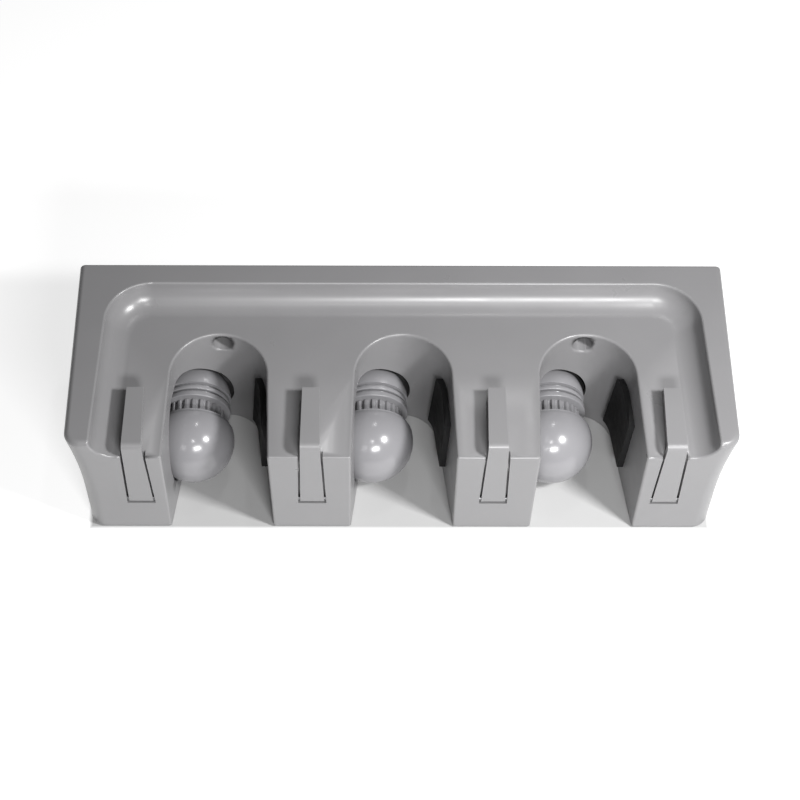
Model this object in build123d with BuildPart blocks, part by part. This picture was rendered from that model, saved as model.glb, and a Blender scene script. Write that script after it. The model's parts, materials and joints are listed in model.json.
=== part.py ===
from build123d import *
import math
import os

os.makedirs("parts", exist_ok=True)

# Wall-mounted tool holder: three bays that grip an upright handle, four fold-out hooks.
# X runs along the wall, +Y points to the wall, +Z is up. The origin is under the middle
# of the case, on the surface that its flat bottom stands on. Millimetres throughout.

# ---- Case ----
length = 275.0
depth = 90.0
height = 70.0
deck_z = 59.5
wall = 2.5
front_y = -depth / 2
wall_y = depth / 2
foot_half = 134.0          # half length at the bottom, before the sides flare
rim_half = 137.99          # half length where flare and rim meet, before the edge is rounded
flare_start_z = 27.5
corner_radius = 7.0
foot_radius = 1.5
rim_radius = 2.5            # outer top edge
edge_radius = 1.0

# ---- Tray on top ----
bay_shift = 1.0            # the bays stand a little right of the middle of the case
rim_depth = 10.1           # flat strip along the wall
tray_back_half = 125.0
tray_front_half = 128.2
tray_corner = 19.0
tray_cove = 10.4

# ---- Bays ----
bay_pitch = 77.75
bay_xs = [bay_shift + i * bay_pitch for i in (-1, 0, 1)]
arch_y = front_y + 40.4
reach = arch_y - front_y
arch_top, arch_foot = 20.4, 16.5
mouth_top, mouth_foot = 21.7, 22.2
overrun = 6.0              # how far the cut for a bay runs out past the front
bay_low, bay_high = -2.0, height + 2.0

# ---- Rollers: the travel is up and to the left, gravity brings them back ----
ball_radius = 17.9
cap_radius = 15.5
ball_dx, ball_y, ball_z = -13.0, front_y + 31.4, 20.0
track_angle = 40.0
travel = 22.0
axle_radius = 2.0
running_gap = 0.05
gear_teeth = 24
tooth_pitch = 3.25
gear_pitch_radius = gear_teeth * tooth_pitch / (2 * math.pi)
slide_x = -math.cos(math.radians(track_angle))
slide_z = math.sin(math.radians(track_angle))

# Stations along a roller, measured back from the middle of its ball
neck_start, neck_end = 5.0, 7.3
band_end, flange_end = 14.1, 16.5
ring_start, ring_end = 17.9, 19.5
cap_edge, cap_centre = 21.0, 21.6
cap_back = cap_centre + 14.2
collar_start, collar_end = 5.6, 7.1
blind_end = -8.0           # where the axle ends inside the ball

neck_radius, root_radius, flange_radius = 16.0, 11.6, 15.6
groove_radius, ring_radius = 13.4, 15.2
collar_radius, head_radius = 3.5, 4.0
head_thick = 1.5
tooth_width, tooth_depth = 1.45, 1.7
tooth_middle = gear_pitch_radius - 0.25
mesh_angle = 90 + track_angle + 180 / gear_teeth

# Pockets in the case that the rollers climb into
ball_pocket = ball_radius + 0.9
cap_pocket = cap_radius + 1.2
pocket_wall = 1.8
pocket_back = ball_y + neck_start + 0.6

# ---- Track plate behind each roller ----
plate_y = ball_y + cap_back + 0.4
plate_thick = 2.5
slot_gap = 0.1
rack_gap = 0.7
rack_y = ball_y + neck_end + rack_gap
rack_width = band_end - neck_end - rack_gap - 0.2
rack_tip, rack_root = gear_pitch_radius - 0.2, gear_pitch_radius + 1.1
rack_back, beam_back = 16.4, 19.1
rack_start, beam_start, rack_stop = -1.5, 3.5, 27.0
rack_tooth_foot, rack_tooth_tip = 0.6, 0.4
rack_teeth = 8

# ---- Wall screws ----
screw_spacing = 154.0
screw_z = deck_z - 6.0
head_hole = 4.1
shank_hole = 2.3
screw_tube = 5.8
tube_y = 8.0               # where the tube round a wall screw starts, inside the bay's back wall
bay_clear_y = 4.0          # a point in the open bay, in front of its back wall

# ---- Hooks ----
hook_xs = [bay_shift + dx for dx in (-111.0, -38.4, 38.4, 111.0)]
hook_thick = 3.0
hook_top_z = deck_z + 7.9
hook_reach = 29.3          # how far the upper leg reaches back from the front face
hook_skin = 0.2            # how far the leg stands behind the front face
hinge_z = deck_z - 36.2
hinge_y = front_y + hook_skin + hook_thick / 2
hinge_radius = 1.0
hook_foot_half, hook_bend_half, hook_tip_half = 5.1, 4.05, 3.55
recess_gap = 0.9
recess_depth, recess_wall = 3.6, 2.3
recess_half = hook_foot_half + recess_gap + 2.0
sill_gap = 0.3
pin_reach = 8.0

hook_low = hinge_z - hook_thick / 2

# ---- Grip pads ----
pad_thick = 2.6
stud_y, stud_zs, stud_reach = front_y + 36.0, (18.0, 34.0), 24.5
pad_front, pad_back = front_y + 25.0, front_y + 49.0
pad_low, pad_high = 9.5, deck_z - 16.0
stud_radius, stud_gap = 2.0, 0.1

# ---- Cover and bosses ----
cover_thick = 2.5
boss_radius = 3.5
pilot_radius = 1.3
web_half = 1.0             # bosses stand on webs from the floor or the deck
track_boss_y = 4.0
cover_boss_y = 29.0
track_screw_dx = -44.5
screw_low_z, screw_high_z = 8.0, 51.0
track_screws = [(x + track_screw_dx, z) for x in bay_xs for z in (screw_low_z, screw_high_z)]
cover_screws = [(bay_shift + dx, screw_low_z) for dx in (-126.0, -38.9, 38.9, 124.0)]
cover_screws += [(bay_shift + dx, screw_high_z) for dx in (-126.0, -32.0, 46.0, 124.0)]
screw_clearance = 1.6
screw_shank = 1.25
screw_head = 2.6
head_sink = 1.7            # how deep the heads sit in the cover


def bay_section(x, z, grow):
    """Plan outline of a bay at one height: flanks that close in to a round back."""
    share = z / deck_z
    radius = arch_foot + (arch_top - arch_foot) * share + grow
    mouth = mouth_foot + (mouth_top - mouth_foot) * share + grow
    lean = math.atan2(mouth, reach) - math.asin(radius / math.hypot(mouth, reach))
    start = mouth + overrun * math.tan(lean)
    side = radius * math.cos(lean)
    side_y = arch_y + radius * math.sin(lean)
    with BuildSketch(Plane.XY.offset(z)) as section:
        with BuildLine():
            Line((x - start, front_y - overrun), (x - side, side_y))
            ThreePointArc((x - side, side_y), (x, arch_y + radius), (x + side, side_y))
            Line((x + side, side_y), (x + start, front_y - overrun))
            Line((x + start, front_y - overrun), (x - start, front_y - overrun))
        make_face()
    return section.sketch.face()


def bay_solid(x, grow):
    """The space of one bay from below the case to above it, grown on all flanks."""
    with BuildPart() as space:
        loft([bay_section(x, bay_low, grow), bay_section(x, bay_high, grow)], ruled=True)
    return space.part


def travel_slot(x, radius, y_from, y_to):
    """A slot along a roller's travel, cut from one Y to another."""
    start = (x + ball_dx, ball_z)
    middle = (start[0] + slide_x * travel / 2, start[1] + slide_z * travel / 2)
    with BuildPart() as space:
        with BuildSketch(Plane.XZ.offset(-y_to)):
            SlotCenterPoint(middle, start, 2 * radius)
        extrude(amount=y_to - y_from)
    return space.part


def ball_sweep(x, radius):
    """The space that a ball of this radius passes through on a roller's travel."""
    start = Vector(x + ball_dx, ball_y, ball_z)
    direction = Vector(slide_x, 0, slide_z)
    with BuildPart() as space:
        with Locations(start, start + direction * travel):
            Sphere(radius)
        with BuildSketch(Plane(origin=start, z_dir=direction)):
            Circle(radius)
        extrude(amount=travel)
    return space.part


def rod(x, z, radius, y_from, y_to):
    """A round bar along Y."""
    with BuildPart() as bar:
        with BuildSketch(Plane.XZ.offset(-y_to)):
            with Locations((x, z)):
                Circle(radius)
        extrude(amount=y_to - y_from)
    return bar.part


def block(x_from, x_to, y_from, y_to, z_from, z_to):
    """A plain box given by its six faces."""
    with BuildPart(Plane.XY.offset(z_from)) as brick:
        with Locations(((x_from + x_to) / 2, (y_from + y_to) / 2)):
            Box(x_to - x_from, y_to - y_from, z_to - z_from,
                align=(Align.CENTER, Align.CENTER, Align.MIN))
    return brick.part


def boss(x, z, y_from, y_to):
    """A screw boss along Y on a web that joins it to the floor or to the deck."""
    z_from, z_to = (wall / 2, z) if z < deck_z / 2 else (z, deck_z)
    with BuildPart() as post:
        add(rod(x, z, boss_radius, y_from, y_to))
        add(block(x - web_half, x + web_half, y_from, y_to, z_from, z_to))
    return post.part


def cross_rod(x_from, x_to, radius, y=hinge_y, z=hinge_z):
    """A round bar along X, on the hook hinge line unless told otherwise."""
    with BuildPart() as bar:
        with BuildSketch(Plane.YZ.offset(x_from)):
            with Locations((y, z)):
                Circle(radius)
        extrude(amount=x_to - x_from)
    return bar.part


def hook_width(x, grow, z_from, z_to, y_from, y_to):
    """A slab with the front outline of a hook's leg: wide at the hinge, narrower at the bend."""
    slope = (hook_bend_half - hook_foot_half) / (hook_top_z - hook_low)
    low = hook_foot_half + grow + slope * (z_from - hook_low)
    high = hook_foot_half + grow + slope * (z_to - hook_low)
    with BuildPart() as slab:
        with BuildSketch(Plane.XZ.offset(-y_to)):
            Polygon((x - low, z_from), (x + low, z_from), (x + high, z_to), (x - high, z_to),
                    align=None)
        extrude(amount=y_to - y_from)
    return slab.part


def finish(part, name):
    """Label one finished piece and write it."""
    part.label = name
    export_step(part, f"parts/{name}.step")


# ---- Tray space: a flat floor with a quarter-round cove up to the rim ----
with BuildPart() as tray:
    with BuildSketch(Plane.XY.offset(deck_z)):
        with BuildLine():
            Polyline(
                (bay_shift - tray_front_half, front_y - 5),
                (bay_shift - tray_back_half, wall_y - rim_depth),
                (bay_shift + tray_back_half, wall_y - rim_depth),
                (bay_shift + tray_front_half, front_y - 5),
                close=True,
            )
        make_face()
        fillet(vertices().group_by(Axis.Y)[-1], tray_corner)
    extrude(amount=height - deck_z + 5)
    floor_edges = faces().sort_by(Axis.Z)[0].edges().sort_by(Axis.Y)[1:]
    fillet(floor_edges, tray_cove)

# ---- Case ----
bay_cuts = [bay_solid(x, 0.0) for x in bay_xs]
bay_walls = [bay_solid(x, wall) for x in bay_xs]
flare_rise = height - flare_start_z
flare_out = rim_half - foot_half
flare_radius = (flare_rise**2 + flare_out**2) / (2 * flare_out)
half_angle = math.asin(flare_rise / flare_radius) / 2
bow_x = foot_half + flare_radius * (1 - math.cos(half_angle))
bow_z = flare_start_z + flare_radius * math.sin(half_angle)

with BuildPart() as case:
    with BuildSketch(Plane.XZ.offset(-wall_y)):
        with BuildLine():
            Line((-foot_half, 0), (foot_half, 0))
            Line((foot_half, 0), (foot_half, flare_start_z))
            ThreePointArc((foot_half, flare_start_z), (bow_x, bow_z), (rim_half, height))
            Line((rim_half, height), (-rim_half, height))
            ThreePointArc((-rim_half, height), (-bow_x, bow_z), (-foot_half, flare_start_z))
            Line((-foot_half, flare_start_z), (-foot_half, 0))
        make_face()
    extrude(amount=depth)
    front_edges = faces().sort_by(Axis.Y)[0].edges()
    fillet(front_edges.filter_by(lambda e: abs(e.center().X) > foot_half - 1), corner_radius)
    foot_edges = faces().sort_by(Axis.Z)[0].edges().sort_by(Axis.Y)[:-1]
    fillet(foot_edges, foot_radius)
    add(tray.part, mode=Mode.SUBTRACT)
    for cut in bay_cuts:
        add(cut, mode=Mode.SUBTRACT)

    # Rounded edges: the outer rim first, then everything that shows round the deck and the posts
    rim_edges = faces().filter_by(lambda f: abs(f.center().Z - height) < 0.01).edges()
    fillet(rim_edges.filter_by(
        lambda e: e.center().Y < front_y + 1 or abs(e.center().X) > rim_half - 0.1), rim_radius)
    front_faces = faces().filter_by(lambda f: abs(f.center().Y - front_y) < 0.01)
    deck_face = faces().filter_by(lambda f: abs(f.center().Z - deck_z) < 0.01)[0]
    rim_face = faces().filter_by(lambda f: abs(f.center().Z - height) < 0.01)[0]
    post_edges = front_faces.edges().filter_by(
        lambda e: e.center().Z > deck_z or (e.center().Z > foot_radius + 1 and abs(e.center().X) < 120))
    arch_edges = deck_face.edges().filter_by(
        lambda e: abs(e.center().X) < 110 and front_y + 1 < e.center().Y < 20)
    inner_rim = rim_face.edges().filter_by(
        lambda e: e.center().Y > front_y + 1 and abs(e.center().X) < 129)
    fillet(post_edges + arch_edges + inner_rim, edge_radius)

# ---- Hollow behind: one space open to the wall, less the walls and bosses that stand in it ----
inner_half = foot_half - wall
inner_top = deck_z - wall
boss_back = wall_y - cover_thick
screw_xs = [bay_shift + s * screw_spacing / 2 for s in (-1, 1)]


def pocket_shell(x):
    """The wall round the pocket that a ball climbs into, open towards the gear behind it."""
    with BuildPart() as shell:
        add(ball_sweep(x, ball_pocket + pocket_wall))
        add(block(x - 80, x + 20, front_y, pocket_back, wall / 2, deck_z), mode=Mode.INTERSECT)
    return shell.part


pocket_shells = [pocket_shell(x) for x in bay_xs]

with BuildPart() as cavity:
    with BuildSketch(Plane.XY.offset(wall)):
        with Locations((0, (wall_y + 1 + front_y + wall) / 2)):
            Rectangle(2 * inner_half, wall_y + 1 - front_y - wall)
        fillet(vertices().group_by(Axis.Y)[0], corner_radius - wall)
    extrude(amount=inner_top - wall)
    for side in bay_walls:
        add(side, mode=Mode.SUBTRACT)
    for x in hook_xs:
        add(block(x - recess_half, x + recess_half, front_y, front_y + recess_depth + recess_wall,
                  hinge_z - 5.0, deck_z), mode=Mode.SUBTRACT)
    for shell in pocket_shells:
        add(shell, mode=Mode.SUBTRACT)
    for x, z in track_screws:
        add(boss(x, z, track_boss_y, plate_y), mode=Mode.SUBTRACT)
    for x, z in cover_screws:
        add(boss(x, z, cover_boss_y, boss_back), mode=Mode.SUBTRACT)
    for x in screw_xs:
        add(rod(x, screw_z, screw_tube, tube_y, wall_y + 1), mode=Mode.SUBTRACT)

with BuildPart() as housing:
    add(case.part)
    add(cavity.part, mode=Mode.SUBTRACT)
    # pockets that the rollers climb into
    for x in bay_xs:
        add(ball_sweep(x, ball_pocket), mode=Mode.SUBTRACT)
        add(travel_slot(x, cap_pocket, pocket_back - 1.0, plate_y - 4.0), mode=Mode.SUBTRACT)
    # wall screws: a deep counterbore from the bay, a narrow hole at the wall
    for x in screw_xs:
        add(rod(x, screw_z, head_hole, bay_clear_y, wall_y - 3.0), mode=Mode.SUBTRACT)
        add(rod(x, screw_z, shank_hole, bay_clear_y, wall_y + 1), mode=Mode.SUBTRACT)
    for x, z in track_screws:
        add(rod(x, z, pilot_radius, plate_y - 12.0, plate_y + 1), mode=Mode.SUBTRACT)
    for x, z in cover_screws:
        add(rod(x, z, pilot_radius, boss_back - 11.0, boss_back + 1), mode=Mode.SUBTRACT)
    # recesses that the folded hooks lie in, and the holes for their pins
    for x in hook_xs:
        add(hook_width(x, recess_gap, hook_low - sill_gap, hook_top_z + 2, front_y - 5,
                       front_y + recess_depth), mode=Mode.SUBTRACT)
        add(cross_rod(x - pin_reach, x + pin_reach, hinge_radius), mode=Mode.SUBTRACT)
    for x in bay_xs:
        for z in stud_zs:
            add(cross_rod(x + 12.0, x + stud_reach + 1.0, stud_radius + stud_gap, stud_y, z),
                mode=Mode.SUBTRACT)
finish(housing.part, "housing")

# ---- Rollers, axles and track plates ----
def roller_plane(x):
    """Half-section plane of one roller: first coordinate back along its axle, second outwards."""
    return Plane(origin=(x + ball_dx, ball_y, ball_z), x_dir=(0, 1, 0), z_dir=(1, 0, 0))


def turned(x, section):
    """Turn a half-section round the roller's axle."""
    with BuildPart() as body:
        revolve(section.face(), axis=Axis((x + ball_dx, ball_y, ball_z), (0, 1, 0)))
    return body.part


def along_track(x, s, d):
    """A point in XZ: s along the travel, d below the roller's axis, square to the travel."""
    return (x + ball_dx + slide_x * s - slide_z * d, ball_z + slide_z * s + slide_x * d)


def track_bar(x, s_from, s_to, d_from, d_to):
    """Sketch a straight bar beside the travel, between two distances from the roller's axis."""
    Polygon(along_track(x, s_from, d_from), along_track(x, s_to, d_from),
            along_track(x, s_to, d_to), along_track(x, s_from, d_to), align=None)


bore = axle_radius + running_gap
collar_seat = collar_start - 0.15


def ball_section(x):
    shoulder = math.sqrt(ball_radius**2 - neck_start**2)
    with BuildSketch(roller_plane(x)) as section:
        with BuildLine():
            a = ThreePointArc((-ball_radius, 0), (0, ball_radius), (neck_start, shoulder))
            Polyline(a @ 1, (neck_start, neck_radius), (neck_end, neck_radius),
                     (neck_end, collar_radius + 0.2), (collar_seat, collar_radius + 0.2),
                     (collar_seat, bore), (blind_end - 0.2, bore), (blind_end - 0.2, 0), (-ball_radius, 0))
        make_face()
    return section.sketch


def gear_section(x):
    with BuildSketch(roller_plane(x)) as section:
        with BuildLine():
            Polyline((neck_end + 0.1, bore), (neck_end + 0.1, root_radius), (band_end, root_radius),
                     (band_end, flange_radius), (flange_end, flange_radius), (flange_end, bore), close=True)
        make_face()
    return section.sketch


def cap_section(x):
    edge = math.sqrt(cap_radius**2 - (cap_edge - cap_centre)**2)
    tip = math.sqrt(cap_radius**2 - (cap_back - cap_centre)**2)
    with BuildSketch(roller_plane(x)) as section:
        with BuildLine():
            Polyline((cap_back, tip), (cap_back, bore), (flange_end, bore), (flange_end, groove_radius),
                     (ring_start, groove_radius), (ring_start, ring_radius), (ring_end, ring_radius),
                     (ring_end, groove_radius), (cap_edge, groove_radius), (cap_edge, edge))
            halfway = cap_radius * math.sqrt(0.5)
            ThreePointArc((cap_edge, edge), (cap_centre + halfway, halfway), (cap_back, tip))
        make_face()
    return section.sketch


def axle_section(x):
    head = plate_y + plate_thick + 0.3 - ball_y
    with BuildSketch(roller_plane(x)) as section:
        with BuildLine():
            Polyline((blind_end, 0), (blind_end, axle_radius), (collar_start, axle_radius),
                     (collar_start, collar_radius), (collar_end, collar_radius), (collar_end, axle_radius),
                     (head, axle_radius), (head, head_radius), (head + head_thick, head_radius),
                     (head + head_thick, 0), close=True)
        make_face()
    return section.sketch


for n, x in enumerate(bay_xs, start=1):
    finish(turned(x, ball_section(x)), f"roller_ball_{n}")

    gear_disc = turned(x, gear_section(x))
    with BuildPart() as gear:
        add(gear_disc)
        tooth_face = Plane(origin=(x + ball_dx, rack_y, ball_z), x_dir=(1, 0, 0), z_dir=(0, 1, 0))
        with BuildSketch(tooth_face):
            with PolarLocations(tooth_middle, gear_teeth, start_angle=mesh_angle):
                Rectangle(tooth_depth, tooth_width)
        extrude(amount=band_end - neck_end - rack_gap + 0.1)
    finish(gear.part, f"roller_gear_{n}")

    finish(turned(x, cap_section(x)), f"roller_cap_{n}")
    finish(turned(x, axle_section(x)), f"axle_{n}")

    with BuildPart() as track:
        with BuildSketch(Plane.XZ.offset(-(plate_y + plate_thick))):
            Polygon((x - 50, 3.2), (x - 3, 3.2), (x - 3, 32), (x - 24, 50), (x - 38, 55.8), (x - 50, 55.8),
                    align=None)
            with Locations((x + track_screw_dx, screw_low_z), (x + track_screw_dx, screw_high_z)):
                Circle(screw_clearance, mode=Mode.SUBTRACT)
        extrude(amount=plate_thick)
        with BuildSketch(Plane.XZ.offset(-plate_y)):
            track_bar(x, beam_start, rack_stop, rack_back, beam_back)
        extrude(amount=plate_y - rack_y)
        with BuildSketch(Plane.XZ.offset(-(rack_y + rack_width))):
            track_bar(x, rack_start, rack_stop, rack_root, rack_back)
            for k in range(rack_teeth):
                s = k * tooth_pitch
                Polygon(along_track(x, s - rack_tooth_foot, rack_root + 0.1),
                        along_track(x, s + rack_tooth_foot, rack_root + 0.1),
                        along_track(x, s + rack_tooth_tip, rack_tip),
                        along_track(x, s - rack_tooth_tip, rack_tip), align=None)
        extrude(amount=rack_width)
        add(travel_slot(x, axle_radius + slot_gap, plate_y - 1, plate_y + plate_thick + 1),
            mode=Mode.SUBTRACT)
    finish(track.part, f"track_{n}")

    # Rubber pad on the right flank, held by two studs through the wall
    with BuildPart() as pad:
        add(block(x + 6, x + 26, pad_front, pad_back, pad_low, pad_high))
        add(bay_solid(x, 0.0), mode=Mode.INTERSECT)
        add(bay_solid(x, -pad_thick), mode=Mode.SUBTRACT)
        for z in stud_zs:
            add(cross_rod(x + 17.2, x + stud_reach, stud_radius, stud_y, z))
    finish(pad.part, f"grip_pad_{n}")

# ---- Hooks: an L of flat section, folded up against the case at rest ----
def hook_plan(x):
    """A tall slab with the top outline of a hook's upper leg, narrower towards its tip."""
    with BuildPart() as plan:
        with BuildSketch(Plane.XY.offset(-1)):
            Polygon((x - 6, front_y - 1), (x + 6, front_y - 1), (x + hook_bend_half, front_y + 4),
                    (x + hook_tip_half, front_y + hook_reach + 1),
                    (x - hook_tip_half, front_y + hook_reach + 1),
                    (x - hook_bend_half, front_y + 4), align=None)
        extrude(amount=height + 20)
    return plan.part


plans = [hook_plan(x) for x in hook_xs]
for n, x in enumerate(hook_xs, start=1):
    with BuildPart() as hook:
        with BuildSketch(Plane.YZ.offset(x - 8)):
            with BuildLine():
                Polyline((front_y + hook_skin, hook_low), (front_y + hook_skin, hook_top_z),
                         (front_y + hook_reach, hook_top_z),
                         (front_y + hook_reach, hook_top_z - hook_thick),
                         (front_y + hook_skin + hook_thick, hook_top_z - hook_thick),
                         (front_y + hook_skin + hook_thick, hook_low), close=True)
            make_face()
            fillet(vertices().group_by(Axis.Y)[0], hook_thick / 2 - 0.01)
            fillet(vertices().group_by(Axis.Y)[-1].sort_by(Axis.X)[0], 2.5)
        extrude(amount=16)
        add(hook_width(x, 0, hook_low - 1, hook_top_z + 1, front_y - 1, front_y + hook_reach + 1),
            mode=Mode.INTERSECT)
        add(plans[n - 1], mode=Mode.INTERSECT)
        add(cross_rod(x - 8, x + 8, hinge_radius + running_gap), mode=Mode.SUBTRACT)
    finish(hook.part, f"hook_{n}")

with BuildPart() as pins:
    for x in hook_xs:
        add(cross_rod(x - pin_reach, x + pin_reach, hinge_radius))
finish(pins.part, "hook_pins")

# ---- Back cover and screws ----
with BuildPart() as cover:
    with BuildSketch(Plane.XZ.offset(-wall_y)):
        with Locations((0, (wall + inner_top) / 2)):
            Rectangle(2 * inner_half - 0.4, inner_top - wall - 0.4)
        with Locations(*[(x, screw_z) for x in screw_xs]):
            Circle(screw_tube + 0.2, mode=Mode.SUBTRACT)
        with Locations(*cover_screws):
            Circle(screw_clearance, mode=Mode.SUBTRACT)
    extrude(amount=cover_thick)
    for x, z in cover_screws:
        add(rod(x, z, screw_head + 0.4, wall_y - head_sink, wall_y + 1), mode=Mode.SUBTRACT)
finish(cover.part, "back_cover")


def screws(places, seat_y, head, shank):
    """Pan-head screws at the given XZ places, driven towards the front from seat_y."""
    with BuildPart() as group:
        for x, z in places:
            add(rod(x, z, screw_head, seat_y, seat_y + head))
            add(rod(x, z, screw_shank, seat_y - shank, seat_y))
    return group.part


finish(screws(track_screws, plate_y + plate_thick, 1.6, 10.0), "track_screws")
finish(screws(cover_screws, wall_y - head_sink, 1.5, 9.0), "cover_screws")
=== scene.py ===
import json
import math

import bmesh
import bpy
import numpy as np
from mathutils import Matrix, Vector


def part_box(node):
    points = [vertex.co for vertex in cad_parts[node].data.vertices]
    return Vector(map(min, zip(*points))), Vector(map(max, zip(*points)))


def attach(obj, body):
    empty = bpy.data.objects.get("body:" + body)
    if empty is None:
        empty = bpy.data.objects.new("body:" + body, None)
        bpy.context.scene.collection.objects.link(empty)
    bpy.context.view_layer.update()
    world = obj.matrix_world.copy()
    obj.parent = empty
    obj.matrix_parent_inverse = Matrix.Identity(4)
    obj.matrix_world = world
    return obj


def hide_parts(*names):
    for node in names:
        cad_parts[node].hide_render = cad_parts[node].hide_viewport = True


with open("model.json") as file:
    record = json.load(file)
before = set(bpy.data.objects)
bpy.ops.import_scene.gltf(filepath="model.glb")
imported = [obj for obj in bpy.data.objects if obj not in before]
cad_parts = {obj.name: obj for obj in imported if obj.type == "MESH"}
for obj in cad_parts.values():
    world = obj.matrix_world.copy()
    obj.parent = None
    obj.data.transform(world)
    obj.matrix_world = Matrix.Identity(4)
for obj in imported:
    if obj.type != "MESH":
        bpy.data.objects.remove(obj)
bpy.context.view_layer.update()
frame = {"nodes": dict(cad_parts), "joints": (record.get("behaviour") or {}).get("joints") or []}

# Wall-mounted tool holder: grey moulded case, ball-ended rollers, rubber pads and fold-out
# hooks. Metres, +Z up, +Y to the wall, origin under the middle of the case.

MM = 0.001
BAYS = (1, 2, 3)
HOOKS = (1, 2, 3, 4)
nodes = frame["nodes"]
joints = {joint["name"]: joint for joint in frame["joints"]}


# ---------------------------------------------------------------------------
# Surfaces
# ---------------------------------------------------------------------------

MERGE_DISTANCE = 0.002 * MM
SHORTEST_EDGE = 0.0005 * MM
GRID_CREASE = 38.0
TWIN_CREASE = 26.0
FLAT_FACE_WEIGHT = 60


def piece_from_grid(name, grid, body, replaced, loop_rows=False):
    """A piece over a grid of points, row by row, closed round its columns and, if asked, its rows.

    Each quad joins a point to the next one in its row and to the same two in the next row.
    Points that fall together, as at a pole, are merged, and the faces are turned outwards."""
    rows, columns = grid.shape[:2]
    row = np.arange(rows if loop_rows else rows - 1)
    r, c = np.meshgrid(row, np.arange(columns), indexing="ij")
    r_next, c_next = (r + 1) % rows, (c + 1) % columns
    corners = (r * columns + c, r * columns + c_next, r_next * columns + c_next, r_next * columns + c)
    quads = np.stack(corners, -1)
    mesh = bpy.data.meshes.new(name)
    mesh.from_pydata(grid.reshape(-1, 3), [], quads.reshape(-1, 4))
    return finished(mesh, name, body, replaced, GRID_CREASE, outwards=True)


def finished(mesh, name, body, replaced, crease, outwards):
    """Merge a mesh's double points, shade it smooth up to an angle, and put it on its body."""
    work = bmesh.new()
    work.from_mesh(mesh)
    bmesh.ops.remove_doubles(work, verts=work.verts, dist=MERGE_DISTANCE)
    bmesh.ops.dissolve_degenerate(work, edges=work.edges, dist=SHORTEST_EDGE)
    if outwards:
        bmesh.ops.recalc_face_normals(work, faces=work.faces)
    work.to_mesh(mesh)
    work.free()
    mesh.shade_smooth()
    mesh.set_sharp_from_angle(angle=math.radians(crease))
    piece = bpy.data.objects.new(name, mesh)
    bpy.context.scene.collection.objects.link(piece)
    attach(piece, body)
    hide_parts(*replaced)
    return piece


def smooth_twin(name, node, body):
    """A merged, smoothly shaded twin of a CAD node. Its normals lean to the larger faces."""
    piece = finished(nodes[node].data.copy(), name, body, [node], TWIN_CREASE, outwards=False)
    weights = piece.modifiers.new("flat_faces_stay_flat", "WEIGHTED_NORMAL")
    weights.mode = "FACE_AREA"
    weights.weight = FLAT_FACE_WEIGHT
    weights.keep_sharp = True
    return piece


def arc(centre, radius, start, end, count):
    """Points of a circle's arc: centre plus radius times (cosine, sine), angles in degrees."""
    angle = np.radians(np.linspace(start, end, count))
    return np.stack([centre[0] + radius * np.cos(angle), centre[1] + radius * np.sin(angle)], -1)


def rounded(profile, radius, count=5):
    """A profile of (station, radius) points whose inner corners are cut back and rounded.

    Each corner becomes a quadratic curve: (1-t)^2 A + 2t(1-t) corner + t^2 B, where A and B
    lie on the two sides, at most 0.45 of a side away from the corner."""
    profile = np.asarray(profile, float)
    before, corner, after = profile[:-2], profile[1:-1], profile[2:]
    into, out = before - corner, after - corner
    into_length = np.linalg.norm(into, axis=1, keepdims=True)
    out_length = np.linalg.norm(out, axis=1, keepdims=True)
    a = corner + into / into_length * np.minimum(radius, 0.45 * into_length)
    b = corner + out / out_length * np.minimum(radius, 0.45 * out_length)
    t = np.linspace(0, 1, count)[None, :, None]
    curve = (1 - t) ** 2 * a[:, None] + 2 * t * (1 - t) * corner[:, None] + t**2 * b[:, None]
    return np.concatenate([profile[:1], curve.reshape(-1, 2), profile[-1:]])


def turned(profile, axis_point, columns, swell=None):
    """Grid of a profile turned round a line along Y.

    Point (station s, radius r) at angle a stands at axis + (r cos a, s, r sin a). Where swell
    is given, it is added to r, a value for each row and column."""
    angle = np.linspace(0, 2 * math.pi, columns, endpoint=False)
    radius = np.repeat(profile[:, 1:2], columns, axis=1)
    if swell is not None:
        radius = radius + swell
    return np.stack([
        axis_point[0] + radius * np.cos(angle),
        np.broadcast_to(axis_point[1] + profile[:, 0:1], radius.shape),
        axis_point[2] + radius * np.sin(angle),
    ], -1)


# ---------------------------------------------------------------------------
# Finishes
# ---------------------------------------------------------------------------

def set_input(tree, socket, value):
    """Link a socket to another one, or set it to a constant."""
    if isinstance(value, bpy.types.NodeSocket):
        tree.links.new(value, socket)
    else:
        socket.default_value = value


def add_node(tree, kind, **values):
    """A shader node with the given inputs, each by its name with underscores for spaces."""
    made = tree.nodes.new(kind)
    for key, value in values.items():
        set_input(tree, made.inputs[key.replace("_", " ")], value)
    return made


def new_finish(name):
    """An empty material with object coordinates and a shader: (material, tree, coordinates, shader)."""
    material = bpy.data.materials.new(name)
    material.use_nodes = True
    tree = material.node_tree
    tree.nodes.clear()
    output = tree.nodes.new("ShaderNodeOutputMaterial")
    shader = tree.nodes.new("ShaderNodeBsdfPrincipled")
    tree.links.new(shader.outputs["BSDF"], output.inputs["Surface"])
    coordinates = tree.nodes.new("ShaderNodeTexCoord").outputs["Object"]
    return material, tree, coordinates, shader


def noise(tree, coordinates, size, detail=3.0, roughness=0.55, stretch=(1, 1, 1)):
    """A noise whose spots are about the given size in metres, stretched along an axis if asked."""
    mapping = add_node(tree, "ShaderNodeMapping", Vector=coordinates, Scale=stretch)
    made = add_node(tree, "ShaderNodeTexNoise", Vector=mapping.outputs["Vector"], Scale=1.0 / size,
                    Detail=detail, Roughness=roughness)
    return made.outputs["Fac"]


def remap(tree, value, low, high, to_low, to_high):
    """A value carried from one range to another, held at the ends."""
    made = add_node(tree, "ShaderNodeMapRange", Value=value, From_Min=low, From_Max=high,
                    To_Min=to_low, To_Max=to_high)
    made.clamp = True
    return made.outputs["Result"]


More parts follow.
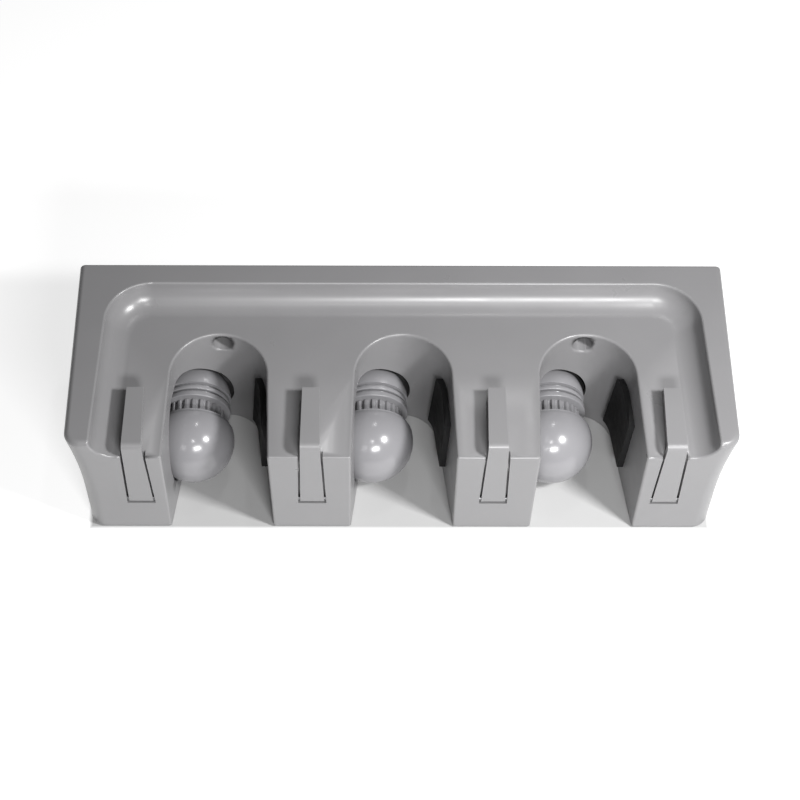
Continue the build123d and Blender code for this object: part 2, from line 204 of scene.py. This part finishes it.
def blend_colours(tree, share, first, second):
    """A mix of two colours by a share. Sockets 0, 6 and 7 are its share and its two colours."""
    made = tree.nodes.new("ShaderNodeMix")
    made.data_type = "RGBA"
    for index, value in ((0, share), (6, first), (7, second)):
        set_input(tree, made.inputs[index], value)
    return made.outputs[2]


def arithmetic(tree, operation, first, second):
    """One operation on two values."""
    made = tree.nodes.new("ShaderNodeMath")
    made.operation = operation
    for socket, value in zip(made.inputs, (first, second)):
        set_input(tree, socket, value)
    return made.outputs[0]


def edge_share(tree, radius):
    """How near a point is to a sharp edge: one less the match between the true and a rounded normal."""
    rounded_normal = add_node(tree, "ShaderNodeBevel", Radius=radius)
    rounded_normal.samples = 4
    true_normal = tree.nodes.new("ShaderNodeNewGeometry").outputs["Normal"]
    match = tree.nodes.new("ShaderNodeVectorMath")
    match.operation = "DOT_PRODUCT"
    tree.links.new(rounded_normal.outputs["Normal"], match.inputs[0])
    tree.links.new(true_normal, match.inputs[1])
    return remap(tree, match.outputs["Value"], 0.995, 0.90, 0.0, 1.0)


def relief(tree, height, distance, strength, under=None):
    """A bump of the given depth in metres, over another one if there is one."""
    made = add_node(tree, "ShaderNodeBump", Height=height, Distance=distance, Strength=strength)
    if under is not None:
        tree.links.new(under, made.inputs["Normal"])
    return made.outputs["Normal"]


def shade(colour, factor):
    """A colour made lighter or darker, with full opacity."""
    return tuple(channel * factor for channel in colour) + (1.0,)


def moulded_plastic(name, colour, gloss, grain=0.35, grain_depth=0.012, worn=0.35):
    """Moulded plastic: faint mottling, orange-peel waves, fine grain, rubbed edges and scuffs."""
    material, tree, place, shader = new_finish(name)

    cloud = noise(tree, place, 45 * MM, detail=3.0)
    mottling = remap(tree, cloud, 0.25, 0.75, 0.0, 1.0)
    body = blend_colours(tree, mottling, shade(colour, 0.965), shade(colour, 1.035))
    fleck = noise(tree, place, 0.8 * MM, detail=2.0)
    body = blend_colours(tree, remap(tree, fleck, 0.35, 0.75, 0.0, 0.12), body, shade(colour, 1.12))
    if worn:
        unevenly = remap(tree, cloud, 0.35, 0.65, 0.15, worn)
        rubbed = arithmetic(tree, "MULTIPLY", edge_share(tree, 0.6 * MM), unevenly)
        body = blend_colours(tree, rubbed, body, shade(colour, 1.35))
    tree.links.new(body, shader.inputs["Base Color"])

    patches = noise(tree, place, 22 * MM, detail=4.0)
    scuffs = noise(tree, place, 14 * MM, detail=2.0, roughness=0.5, stretch=(0.5, 1.0, 1.0))
    rough = remap(tree, patches, 0.3, 0.7, gloss - 0.03, gloss + 0.04)
    rough = arithmetic(tree, "ADD", rough, remap(tree, scuffs, 0.40, 0.75, 0.0, 0.03))
    tree.links.new(rough, shader.inputs["Roughness"])

    waves = relief(tree, noise(tree, place, 9 * MM, detail=1.0), 0.06 * MM, 0.30)
    fine = relief(tree, noise(tree, place, grain * MM, detail=2.0), grain_depth * MM, 0.5, waves)
    tree.links.new(fine, shader.inputs["Normal"])
    shader.inputs["Specular IOR Level"].default_value = 0.5
    return material


def pad_rubber():
    """Black rubber: dull, slightly dusty, with a fine pitted skin."""
    material, tree, place, shader = new_finish("pad_rubber_finish")
    black, dusty = (0.006, 0.006, 0.0065), (0.016, 0.016, 0.016)
    dust = noise(tree, place, 6 * MM, detail=5.0, roughness=0.65)
    dust_share = remap(tree, dust, 0.45, 0.75, 0.0, 0.5)
    body = blend_colours(tree, dust_share, shade(black, 1.0), shade(dusty, 1.0))
    tree.links.new(body, shader.inputs["Base Color"])
    tree.links.new(remap(tree, dust, 0.3, 0.7, 0.55, 0.78), shader.inputs["Roughness"])
    pits = relief(tree, noise(tree, place, 0.5 * MM, detail=3.0), 0.03 * MM, 0.7)
    tree.links.new(pits, shader.inputs["Normal"])
    shader.inputs["Specular IOR Level"].default_value = 0.25
    return material


def drawn_steel(name, colour, along, rough):
    """Plated or drawn steel: fine lines along one axis, uneven gloss and slightly dulled spots."""
    material, tree, place, shader = new_finish(name)
    lines = noise(tree, place, 0.25 * MM, detail=4.0, roughness=0.7, stretch=along)
    spots = noise(tree, place, 3.0 * MM, detail=4.0)
    dulled = remap(tree, spots, 0.4, 0.75, 0.0, 0.6)
    tree.links.new(blend_colours(tree, dulled, shade(colour, 1.0), shade(colour, 0.72)),
                   shader.inputs["Base Color"])
    uneven = arithmetic(tree, "ADD", remap(tree, spots, 0.3, 0.7, rough - 0.07, rough + 0.08),
                        remap(tree, lines, 0.4, 0.7, 0.0, 0.08))
    tree.links.new(uneven, shader.inputs["Roughness"])
    tree.links.new(relief(tree, lines, 0.008 * MM, 0.5), shader.inputs["Normal"])
    shader.inputs["Metallic"].default_value = 1.0
    return material


GREY = (0.190, 0.188, 0.192)
BALL_GREY = (0.215, 0.213, 0.222)
GEAR_GREY = (0.19, 0.188, 0.196)
COVER_GREY = (0.165, 0.165, 0.168)
TRACK_CREAM = (0.55, 0.54, 0.50)
PIN_GREY = (0.20, 0.20, 0.205)
ZINC = (0.58, 0.58, 0.56)

case_plastic = moulded_plastic("case_plastic_finish", GREY, gloss=0.30)
hook_plastic = moulded_plastic("hook_plastic_finish", shade(GREY, 1.02)[:3], gloss=0.34)
ball_plastic = moulded_plastic("ball_plastic_finish", BALL_GREY, gloss=0.20, worn=0)
gear_plastic = moulded_plastic("gear_plastic_finish", GEAR_GREY, gloss=0.30, worn=0.3)
cover_plastic = moulded_plastic("cover_plastic_finish", COVER_GREY, gloss=0.55, grain=0.8, grain_depth=0.05)
track_plastic = moulded_plastic("track_plastic_finish", TRACK_CREAM, gloss=0.42)
rubber = pad_rubber()
pin_steel = drawn_steel("pin_steel_finish", PIN_GREY, (1.0, 0.06, 1.0), 0.38)
screw_steel = drawn_steel("screw_steel_finish", ZINC, (1.0, 1.0, 1.0), 0.34)


def paint(thing, material):
    """One finish over the whole of a piece or CAD node."""
    thing.data.materials.clear()
    thing.data.materials.append(material)


# ---------------------------------------------------------------------------
# Case
# ---------------------------------------------------------------------------

paint(smooth_twin("case_moulding", "housing", "case"), case_plastic)
paint(smooth_twin("cover_plate", "back_cover", "case"), cover_plastic)


# ---------------------------------------------------------------------------
# Rollers
# ---------------------------------------------------------------------------

BORE = 2.05 * MM            # round the axle, in all three parts of a roller
BALL_COLUMNS = 160
BALL_ROWS, DOME_ROWS = 84, 60

NECK_LENGTH, NECK_STEP = 2.3 * MM, 1.9 * MM
COLLAR_RADIUS, COLLAR_DEPTH = 3.7 * MM, 1.85 * MM
BLIND_END = -8.2 * MM       # where the bore ends inside the ball
NECK_ROUNDING = 0.4 * MM

TEETH = 24
COLUMNS_PER_TOOTH = 18
TOOTH_HEIGHT = 1.42 * MM
TOOTH_SHARPNESS = 3.2
RACK_DIRECTION = math.radians(230)
FLANGE_THICK, FLANGE_STEP = 2.4 * MM, 4.0 * MM
FLANGE_ROUNDING = 0.5 * MM
TOOTH_SETBACK = 0.55 * MM   # from the face next to the ball to where the teeth begin

DOME_LENGTH = 14.2 * MM
GROOVE_STEP, RING_STEP, LIP_STEP = 2.1 * MM, 0.3 * MM, 0.05 * MM
RING_START, RING_END, DOME_START = 1.4 * MM, 3.0 * MM, 4.5 * MM
GROOVE_ROUNDING = 0.3 * MM


def roller_axis(n):
    """The point at the middle of a roller's ball, from its spin joint."""
    return np.array(joints[f"roller_{n}_spin"]["pos_m"])


def ball_surface(n):
    """A ball with a stepped neck: a circle of the ball's radius, then a rounded ring, hollow behind."""
    middle = roller_axis(n)
    low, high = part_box(f"roller_ball_{n}")
    radius = (high.x - low.x) / 2
    neck_end = high.y - middle[1]
    neck_start = neck_end - NECK_LENGTH
    neck_radius = radius - NECK_STEP
    collar_seat = neck_end - COLLAR_DEPTH
    shoulder_angle = math.degrees(math.acos(neck_start / radius))
    outline = arc((0, 0), radius, 180, shoulder_angle, BALL_ROWS)
    step = rounded([outline[-1], (neck_start, neck_radius), (neck_end, neck_radius),
                    (neck_end, COLLAR_RADIUS), (collar_seat, COLLAR_RADIUS), (collar_seat, BORE),
                    (BLIND_END, BORE), (BLIND_END, 0)], NECK_ROUNDING)
    return turned(np.concatenate([outline[:-1], step]), middle, BALL_COLUMNS)


def tooth_height(columns, height):
    """Radial height of the teeth round the band: a flat-topped wave, tanh of a sharpened cosine."""
    angle = np.linspace(0, 2 * math.pi, columns, endpoint=False)
    wave = np.cos(TEETH * (angle - RACK_DIRECTION) + math.pi)
    return height * (0.5 + 0.5 * np.tanh(TOOTH_SHARPNESS * (wave + 0.05)) / math.tanh(TOOTH_SHARPNESS))


def gear_surface(n):
    """A toothed band and a flange in one ring: a turned profile whose band rows swell by the teeth.

    The share of a tooth's height at each row rises from nought past the setback and falls to
    nought at the flange."""
    middle = roller_axis(n)
    low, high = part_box(f"roller_gear_{n}")
    start, end = low.y - middle[1], high.y - middle[1]
    band_end = end - FLANGE_THICK
    flange = (high.x - low.x) / 2
    root = flange - FLANGE_STEP
    outer = rounded([(band_end, root), (band_end, flange), (end, flange), (end, BORE + 1 * MM)],
                    FLANGE_ROUNDING)
    first, last = start + TOOTH_SETBACK, band_end - 0.05 * MM
    stations = np.array([start, start, start, first, first + 0.05 * MM, first + 0.25 * MM,
                         last - 0.45 * MM, last - 0.1 * MM, last])
    radii = np.array([BORE, root * 0.6, root, root, root, root, root, root, root])
    share = np.array([0, 0, 0, 0, 0.8, 1, 1, 0.9, 0])
    profile = np.concatenate([np.stack([stations, radii], -1), outer, [(end, BORE)]])
    share = np.concatenate([share, np.zeros(len(profile) - len(share))])
    columns = TEETH * COLUMNS_PER_TOOTH
    swell = share[:, None] * tooth_height(columns, TOOTH_HEIGHT)[None, :]
    return turned(profile, middle, columns, swell)


def cap_surface(n):
    """The rear part of a roller: a grooved neck with one ring, then a dome cut flat at its back."""
    middle = roller_axis(n)
    low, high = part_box(f"roller_cap_{n}")
    start, back = low.y - middle[1], high.y - middle[1]
    dome = (high.x - low.x) / 2
    groove, ring = dome - GROOVE_STEP, dome - RING_STEP
    centre = back - DOME_LENGTH
    ring_start, ring_end, dome_start = start + RING_START, start + RING_END, start + DOME_START
    edge_angle = math.degrees(math.acos((dome_start - centre) / dome))
    flat_angle = math.degrees(math.acos((back - centre) / dome))
    neck = rounded([(start, BORE), (start, groove), (ring_start, groove), (ring_start, ring),
                    (ring_end, ring), (ring_end, groove), (dome_start, groove),
                    (dome_start, dome - LIP_STEP)], GROOVE_ROUNDING)
    shell = arc((centre, 0), dome, edge_angle, flat_angle, DOME_ROWS)
    return turned(np.concatenate([neck, shell, [(back, BORE)]]), middle, BALL_COLUMNS)


for n in BAYS:
    roller = f"roller_{n}"
    ball = piece_from_grid(f"ball_skin_{n}", ball_surface(n), roller, [f"roller_ball_{n}"])
    gear = piece_from_grid(f"gear_skin_{n}", gear_surface(n), roller, [f"roller_gear_{n}"],
                           loop_rows=True)
    cap = piece_from_grid(f"cap_skin_{n}", cap_surface(n), roller, [f"roller_cap_{n}"],
                          loop_rows=True)
    paint(ball, ball_plastic)
    paint(gear, gear_plastic)
    paint(cap, ball_plastic)
    paint(nodes[f"axle_{n}"], pin_steel)
    paint(smooth_twin(f"track_plate_{n}", f"track_{n}", "case"), track_plastic)


# ---------------------------------------------------------------------------
# Grip pads
# ---------------------------------------------------------------------------

for n in BAYS:
    paint(smooth_twin(f"pad_skin_{n}", f"grip_pad_{n}", "case"), rubber)


# ---------------------------------------------------------------------------
# Hooks
# ---------------------------------------------------------------------------

for n in HOOKS:
    hook = smooth_twin(f"hook_skin_{n}", f"hook_{n}", f"hook_{n}")
    bevel = hook.modifiers.new("rounded_edges", "BEVEL")
    bevel.width = 0.4 * MM
    bevel.segments = 3
    bevel.limit_method = "ANGLE"
    bevel.angle_limit = math.radians(40)
    bevel.harden_normals = False
    hook.modifiers.move(1, 0)    # the rounding comes before the weighting of normals
    paint(hook, hook_plastic)


# ---------------------------------------------------------------------------
# Small fittings
# ---------------------------------------------------------------------------

paint(nodes["hook_pins"], pin_steel)
paint(nodes["track_screws"], screw_steel)
paint(nodes["cover_screws"], screw_steel)


# ---------------------------------------------------------------------------
# Floor, light and camera
# ---------------------------------------------------------------------------

CASE_HALF_LENGTH = 134 * MM
CASE_HALF_DEPTH = 45 * MM
FLOOR_SPAN = 3.0
FLOOR_COLOUR = (0.42, 0.42, 0.42)
# strength of the floor's painted glow, a painted light outside the case's footprint
FLOOR_PAINTED_GLOW = 1.75
WORLD_STRENGTH = 0.03
LAMP_AIM = Vector((0, 0, 0.05))

# name, azimuth and elevation in degrees, distance, size, power; azimuth 0 stands in front, 90 to
# the right
LAMPS = (
    ("key_lamp", 56, 48, 0.50, (0.06, 0.06), 3.1),
    ("front_lamp", 11, 36, 0.70, (0.22, 0.10), 4.0),
    ("camera_lamp", -1, 58, 1.0, (0.03, 0.03), 0.8),
    ("rear_strip", 160, 71, 0.9, (0.02, 0.10), 0.5),
)

CAMERA_PLACE = (-0.01295, -0.43644, 0.73089)
CAMERA_TILT, CAMERA_ROLL = 32.0, 0.13
SENSOR, LENS, LENS_SHIFT = 36.0, 85.545, 0.0375


def painted_glow_mask(tree, place):
    """One outside the case's footprint and nought inside it, with a soft border: where the floor's painted
    glow shows.
    """
    split = add_node(tree, "ShaderNodeSeparateXYZ", Vector=place)
    from_middle_x = arithmetic(tree, "ABSOLUTE", split.outputs["X"], 0.0)
    from_middle_y = arithmetic(tree, "ABSOLUTE", split.outputs["Y"], 0.0)
    beyond_side = arithmetic(tree, "SUBTRACT", from_middle_x, CASE_HALF_LENGTH)
    beyond_front = arithmetic(tree, "SUBTRACT", from_middle_y, CASE_HALF_DEPTH)
    beyond = arithmetic(tree, "MAXIMUM", beyond_side, beyond_front)
    return remap(tree, beyond, -0.5 * MM, 1.5 * MM, 0.0, 1.0)


def floor_finish():
    """A pale sheet with a painted glow outside the case's footprint; inside the footprint, where the bays
    are, it has no glow, which paints shade there.
    """
    material, tree, place, shader = new_finish("floor_finish")
    tone = blend_colours(tree, noise(tree, place, 60 * MM), shade(FLOOR_COLOUR, 0.985),
                         shade(FLOOR_COLOUR, 1.0))
    tree.links.new(tone, shader.inputs["Base Color"])
    shader.inputs["Roughness"].default_value = 0.7
    shader.inputs["Specular IOR Level"].default_value = 0.2
    # Painted light: the floor glows in its own colour outside the case's footprint; inside it, in the bays,
    # it has no glow, which paints shade there.
    shader.inputs["Emission Color"].default_value = shade(FLOOR_COLOUR, 1.0)
    painted_glow_strength = arithmetic(tree, "MULTIPLY", painted_glow_mask(tree, place), FLOOR_PAINTED_GLOW)
    tree.links.new(painted_glow_strength, shader.inputs["Emission Strength"])
    return material


floor_mesh = bpy.data.meshes.new("floor")
floor_mesh.from_pydata([(-FLOOR_SPAN, -FLOOR_SPAN, 0), (FLOOR_SPAN, -FLOOR_SPAN, 0),
                        (FLOOR_SPAN, FLOOR_SPAN, 0), (-FLOOR_SPAN, FLOOR_SPAN, 0)], [], [(0, 1, 2, 3)])
floor = bpy.data.objects.new("floor", floor_mesh)
bpy.context.scene.collection.objects.link(floor)
paint(floor, floor_finish())


def lamp(name, azimuth, elevation, distance, size, power):
    """A soft lamp aimed at the holder."""
    a, e = math.radians(azimuth), math.radians(elevation)
    light = bpy.data.lights.new(name, "AREA")
    light.shape = "RECTANGLE"
    light.size, light.size_y = size
    light.energy = power
    direction = Vector((math.sin(a) * math.cos(e), -math.cos(a) * math.cos(e), math.sin(e)))
    lamp_object = bpy.data.objects.new(name, light)
    lamp_object.location = LAMP_AIM + distance * direction
    lamp_object.rotation_euler = (-direction).to_track_quat("-Z", "Y").to_euler()
    bpy.context.scene.collection.objects.link(lamp_object)


for settings in LAMPS:
    lamp(*settings)

world = bpy.data.worlds.new("studio")
world.use_nodes = True
background = world.node_tree.nodes["Background"]
background.inputs["Color"].default_value = (1, 1, 1, 1)
background.inputs["Strength"].default_value = WORLD_STRENGTH
bpy.context.scene.world = world
bpy.context.scene.view_settings.view_transform = "Standard"

camera_data = bpy.data.cameras.new("camera")
camera_data.sensor_width = SENSOR
camera_data.lens = LENS
camera_data.shift_x = LENS_SHIFT
camera_data.clip_end = 20.0
camera = bpy.data.objects.new("camera", camera_data)
tilt = Matrix.Rotation(math.radians(CAMERA_TILT), 4, "X")
roll = Matrix.Rotation(math.radians(CAMERA_ROLL), 4, "Z")
camera.matrix_world = Matrix.Translation(CAMERA_PLACE) @ tilt @ roll
bpy.context.scene.collection.objects.link(camera)
bpy.context.scene.camera = camera
